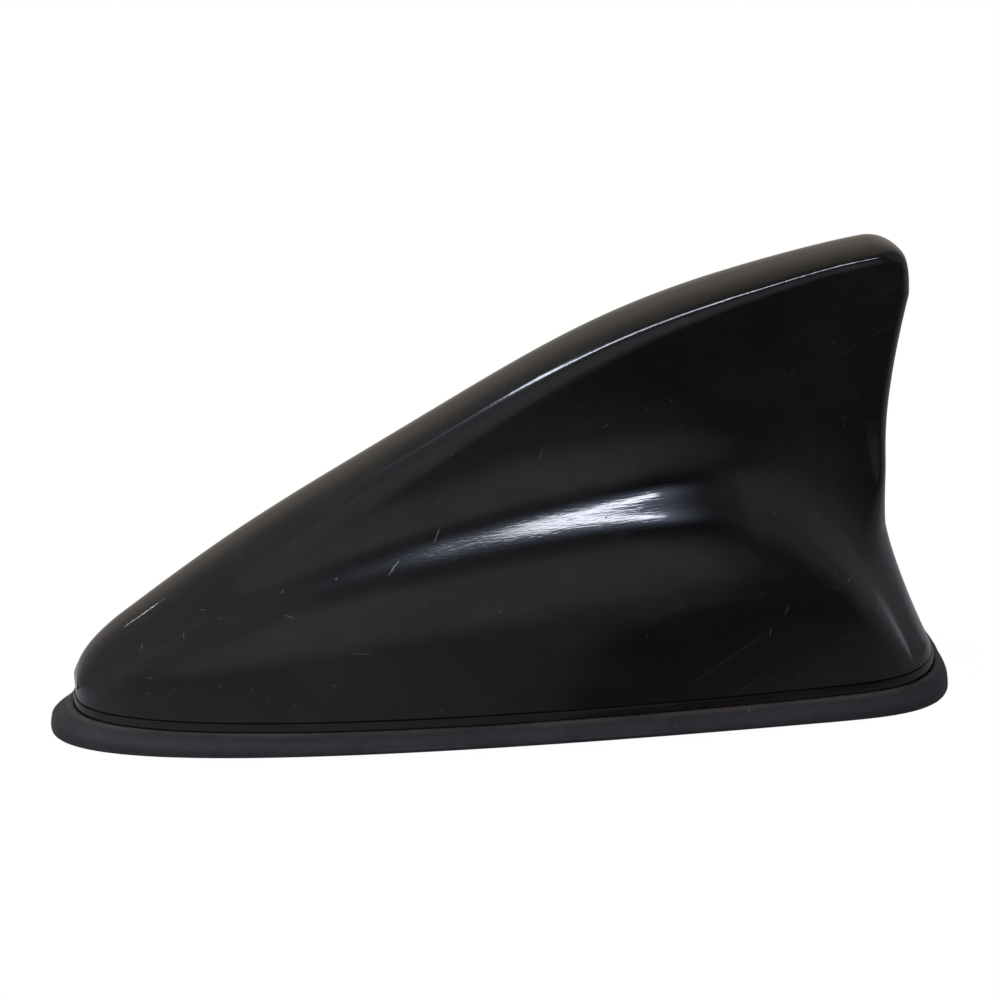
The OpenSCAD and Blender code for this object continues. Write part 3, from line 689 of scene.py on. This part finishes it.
def build_bosses():
    """The cover's inner screw bosses with their blind bores."""
    g = Grower("screw bosses", boss_radius=3 * MM, bore_radius=1.5 * MM, bore_depth=8 * MM)
    rise = g.step("GeometryNodeInputNamedAttribute", {"Name": "rise"}, data_type="FLOAT")
    post = g.step("GeometryNodeMeshCylinder", {"Vertices": 40, "Radius": g.i["Boss Radius"], "Depth": 1.0})
    post = g.step("GeometryNodeTransform", {"Geometry": post, "Translation": (0, 0, 0.5)})
    posts = g.step("GeometryNodeInstanceOnPoints",
                   {"Points": g.i[0], "Instance": post, "Scale": g.joined(1.0, 1.0, rise)})
    through = g.times(g.i["Bore Depth"], 2.0)
    bore = g.step("GeometryNodeMeshCylinder", {"Vertices": 32, "Radius": g.i["Bore Radius"], "Depth": through})
    bores = g.step("GeometryNodeInstanceOnPoints", {"Points": g.i[0], "Instance": bore})
    posts, bores = (g.step("GeometryNodeRealizeInstances", {0: copies}) for copies in (posts, bores))
    made = g.step("GeometryNodeMeshBoolean", {"Mesh 1": posts, "Mesh 2": bores}, operation="DIFFERENCE")
    at = screw_places()
    floor_z = SEAT_Z + BASE_T
    ob = g.finish(made, "cover_bosses", [(x, y, floor_z) for x, y in at], [], FINISHES["gloss_cover"],
                  rise=[boss_top(x, y) - floor_z for x, y in at])
    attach(ob, "root")
    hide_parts("cover")


def coil_path():
    """Path of the wire in mm: lead from the spring contact, helix, lead to the top load."""
    low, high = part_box("fm_coil")
    x0 = (low[0] + high[0]) / 2 / MM
    turns, steps, radius, z0, z1 = 10.5, 40, 4.5, 19.5, 40.5
    path = [(x0, -9.2, 14.06), (x0, -8, 14.4), (x0, -6, 16.4), (x0, -5.8, 18.3)]
    for turn in np.arange(int(turns * steps) + 1) / steps:
        angle = 2 * math.pi * turn
        path.append((x0 + radius * math.sin(angle), -radius * math.cos(angle), z0 + (z1 - z0) * turn / turns))
    return path + [(x0, 5.8, 41.7), (x0, 5.8, 43.7), (x0, 1.9, 47), (x0, 1.75, 48), (x0, 1.75, 66)]


def build_coil():
    """The coil's round wire along its path."""
    g = Grower("wound wire", wire_radius=0.45 * MM)
    line = g.step("GeometryNodeMeshToCurve", {"Mesh": g.i[0]})
    ring = g.step("GeometryNodeCurvePrimitiveCircle", {"Resolution": 14, "Radius": g.i["Wire Radius"]})
    made = g.step("GeometryNodeCurveToMesh", {"Curve": line, "Profile Curve": ring, "Fill Caps": True})
    path = coil_path()
    edges = [(k, k + 1) for k in range(len(path) - 1)]
    ob = g.finish(made, "coil_wire", path, edges, FINISHES["copper_wire"], sharp=60)
    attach(ob, "root")
    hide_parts("fm_coil")


build_cover()
build_bosses()
build_gasket()
build_coil()

# stage, light and camera
scene = bpy.context.scene

# the lamp overhead, a bent soft tube: x/z, y/z of the direction to its points
TUBE = [(-0.48, 0.38), (-0.42, 0.22), (-0.35, 0.15), (-0.13, -0.02), (-0.06, -0.065), (0.09, -0.11)]
# its strength by x/z
TUBE_STRENGTH = [(-0.55, 10), (-0.44, 16), (-0.3, 14), (-0.2, 10), (-0.13, 13), (-0.07, 18), (-0.02, 24),
                 (0.04, 25), (0.12, 23)]
BRIGHTEST = 30
# its half width, which narrows along the run from first to second place in x/z
TUBE_WIDE, TUBE_NARROW, NARROWING = 0.05, 0.021, (-0.1225, -0.0025)
# its glow round it: reach, strength and colour
HALO_REACH, HALO, HALO_COLOUR = 0.16, 3.6, (0.72, 0.85, 1.2)
TUBE_COLOUR = (0.93, 0.97, 1.05)
# the small spot behind the nose, its outer and inner half width and its strength
SPOT, SPOT_WIDE, SPOT_CORE, SPOT_STRENGTH = ((-1.03, 1.5), (-1.02, 1.44)), 0.026, 0.008, 9.0
# the room's shade by compass direction in degrees from the tail, minus on the shown side: pale walls, a dark
# drape at -68 and dimmer walls by the tail
ROOM_SHADES = [(-180, 0.5), (-140, 0.38), (-110, 0.29), (-84, 0.23), (-75, 0.1), (-60, 0.1), (-45, 0.16),
               (-20, 0.3), (18, 0.3), (45, 0.14), (66, 0.4), (120, 0.36), (180, 0.5)]
# direction of the brighter middle of the wall behind the camera's left, and what it adds
PALE_WALL, PALE_WALL_LIFT = (-0.26, -0.745, 0.616), 0.27
CEILING_SHADE = 0.6


def room_group():
    """The studio room's shade in a direction, the same for the world and for what the gloss sees as floor."""
    g, t, i, out = new_group("room", "Color", vector=None)
    x, y = t.parts(i["Vector"])[:2]
    turn = t.math("ADD", t.math("DIVIDE", t.math("ARCTAN2", y, x), 2 * math.pi), 0.5)
    shade = t.shades(turn, [((degrees + 180) / 360, grey) for degrees, grey in ROOM_SHADES])
    way = t.vec("NORMALIZE", i["Vector"])
    pale = t.ramp(t.vec("DOT_PRODUCT", way, PALE_WALL), 0.72, 0.985, 0.0, PALE_WALL_LIFT)
    shade = t.vec("ADD", shade, t.scaled((1, 1, 1), pale))
    shade = t.scaled(shade, t.ramp(t.vec("DOT_PRODUCT", way, (0, 0, 1)), 0.88, 0.97, 1.0, CEILING_SHADE))
    warm = t.times(t.ramp(turn, 0.64, 0.7), t.ramp(turn, 0.94, 0.76))
    t.put(out, t.vec("MULTIPLY", shade, t.mix(warm, (0.97, 0.96, 1.07), (1.08, 0.98, 0.86))))
    return g


ROOM = room_group()


def off_stretch(t, plane, a, b):
    """Distance in the ceiling's plane to one straight stretch of the lamp."""
    run = (b[0] - a[0], b[1] - a[1], 0.0)
    off = t.vec("SUBTRACT", plane, (*a, 0.0))
    share = t.math("MULTIPLY", t.vec("DOT_PRODUCT", off, run), 1 / (run[0] ** 2 + run[1] ** 2), clamp=True)
    return t.vec("LENGTH", t.vec("SUBTRACT", off, t.scaled(run, share)))


def lamp_light(t, way):
    """Light of the tube, its halo and the spot in a direction."""
    x, y, z = t.parts(way)
    up = t.math("MAXIMUM", z, 0.02)
    across = t.math("DIVIDE", x, up)
    plane = t.joined(across, t.math("DIVIDE", y, up))
    off = off_stretch(t, plane, TUBE[0], TUBE[1])
    for a, b in zip(TUBE[1:], TUBE[2:]):
        off = t.math("MINIMUM", off, off_stretch(t, plane, a, b))
    first, span = -0.55, 0.75
    run = t.ramp(across, first, first + span, smooth=False)
    strength = t.shades(run, [((place - first) / span, value / BRIGHTEST) for place, value in TUBE_STRENGTH])
    narrowing = [(place - first) / span for place in NARROWING]
    wide = t.ramp(run, *narrowing, TUBE_WIDE, TUBE_NARROW)
    tube = t.scaled(strength, t.times(t.ramp(off, wide, t.times(wide, 0.36)), BRIGHTEST))
    spot = t.ramp(off_stretch(t, plane, *SPOT), SPOT_WIDE, SPOT_CORE)
    tube = t.vec("ADD", tube, t.scaled((1, 1, 1), t.times(spot, SPOT_STRENGTH)))
    halo = t.times(t.math("POWER", t.ramp(off, HALO_REACH, 0.0, smooth=False), 3.0), HALO)
    return t.vec("ADD", t.vec("MULTIPLY", tube, TUBE_COLOUR), t.scaled(HALO_COLOUR, halo))


def shader_mix(t, fac, a, b):
    n = t.node("ShaderNodeMixShader")
    for socket, value in zip(n.inputs, (fac, a, b)):
        t.put(socket, value)
    return n.outputs[0]


def glow(t, kind, colour, strength=1.0):
    """An emission or background shader."""
    n = t.node(kind)
    t.put(n.inputs["Color"], (*colour, 1) if isinstance(colour, tuple) else colour)
    t.put(n.inputs["Strength"], strength)
    return n.outputs[0]


def build_world():
    """The room with the lamp overhead; plain white for the camera."""
    w = bpy.data.worlds.new("studio")
    scene.world = w
    w.use_nodes = True
    w.node_tree.nodes.clear()
    t = Tree(w.node_tree)
    way = t.node("ShaderNodeTexCoord").outputs["Generated"]
    shown = glow(t, "ShaderNodeBackground", t.vec("ADD", t.use(ROOM, vector=way), lamp_light(t, way)))
    white = glow(t, "ShaderNodeBackground", (1, 1, 1))
    seen = t.node("ShaderNodeLightPath").outputs["Is Camera Ray"]
    t.put(t.node("ShaderNodeOutputWorld").inputs[0], shader_mix(t, seen, shown, white))


def floor_material():
    """White with the object's faint shadow for the camera, the room's own shade for the gloss."""
    shadow_share, white_strength, grey = 0.04, 1.03, 0.6
    m = bpy.data.materials.new("pale floor")
    m.use_nodes = True
    m.node_tree.nodes.clear()
    t = Tree(m.node_tree)
    path = t.node("ShaderNodeLightPath").outputs
    diffuse = t.node("ShaderNodeBsdfDiffuse")
    t.put(diffuse.inputs["Color"], (grey, grey, grey, 1))
    lit = diffuse.outputs[0]
    white = glow(t, "ShaderNodeEmission", (1, 1, 1), white_strength)
    room = glow(t, "ShaderNodeEmission", t.use(ROOM, vector=t.coords()))
    in_gloss = t.math("MAXIMUM", path["Is Glossy Ray"], path["Is Transmission Ray"])
    unseen = shader_mix(t, in_gloss, lit, room)
    seen = shader_mix(t, shadow_share, white, lit)
    t.put(t.node("ShaderNodeOutputMaterial").inputs[0], shader_mix(t, path["Is Camera Ray"], unseen, seen))
    return m


def build_floor():
    half = 3.0
    corners = [(-half, -half, 0), (half, -half, 0), (half, half, 0), (-half, half, 0)]
    me = bpy.data.meshes.new("floor")
    me.from_pydata(corners, [], [(0, 1, 2, 3)])
    me.materials.append(floor_material())
    add_object("floor", me)


def build_camera():
    """The photograph's camera, fitted to the gasket's outline and the ridge."""
    turn, tilt, roll = (math.radians(v) for v in (9.14, 19.3, -2.08))
    distance, lens, sensor = 0.7, 137.79, 36
    aim = np.array([2.01, 0, 36.06]) * MM
    back = np.array([-math.sin(turn) * math.cos(tilt), -math.cos(turn) * math.cos(tilt), math.sin(tilt)])
    level = np.cross(-back, [0, 0, 1])
    level /= np.linalg.norm(level)
    upright = np.cross(level, -back)
    right = level * math.cos(roll) + upright * math.sin(roll)
    up = -level * math.sin(roll) + upright * math.cos(roll)
    at = aim + distance * back
    data = bpy.data.cameras.new("camera")
    data.sensor_width = sensor
    data.lens = lens
    data.clip_start = 0.01
    data.clip_end = 20
    ob = add_object("camera", data)
    ob.matrix_world = Matrix([*np.column_stack([right, up, back, at]), (0, 0, 0, 1)])
    scene.camera = ob


build_world()
build_floor()
build_camera()
scene.view_settings.view_transform = "Standard"
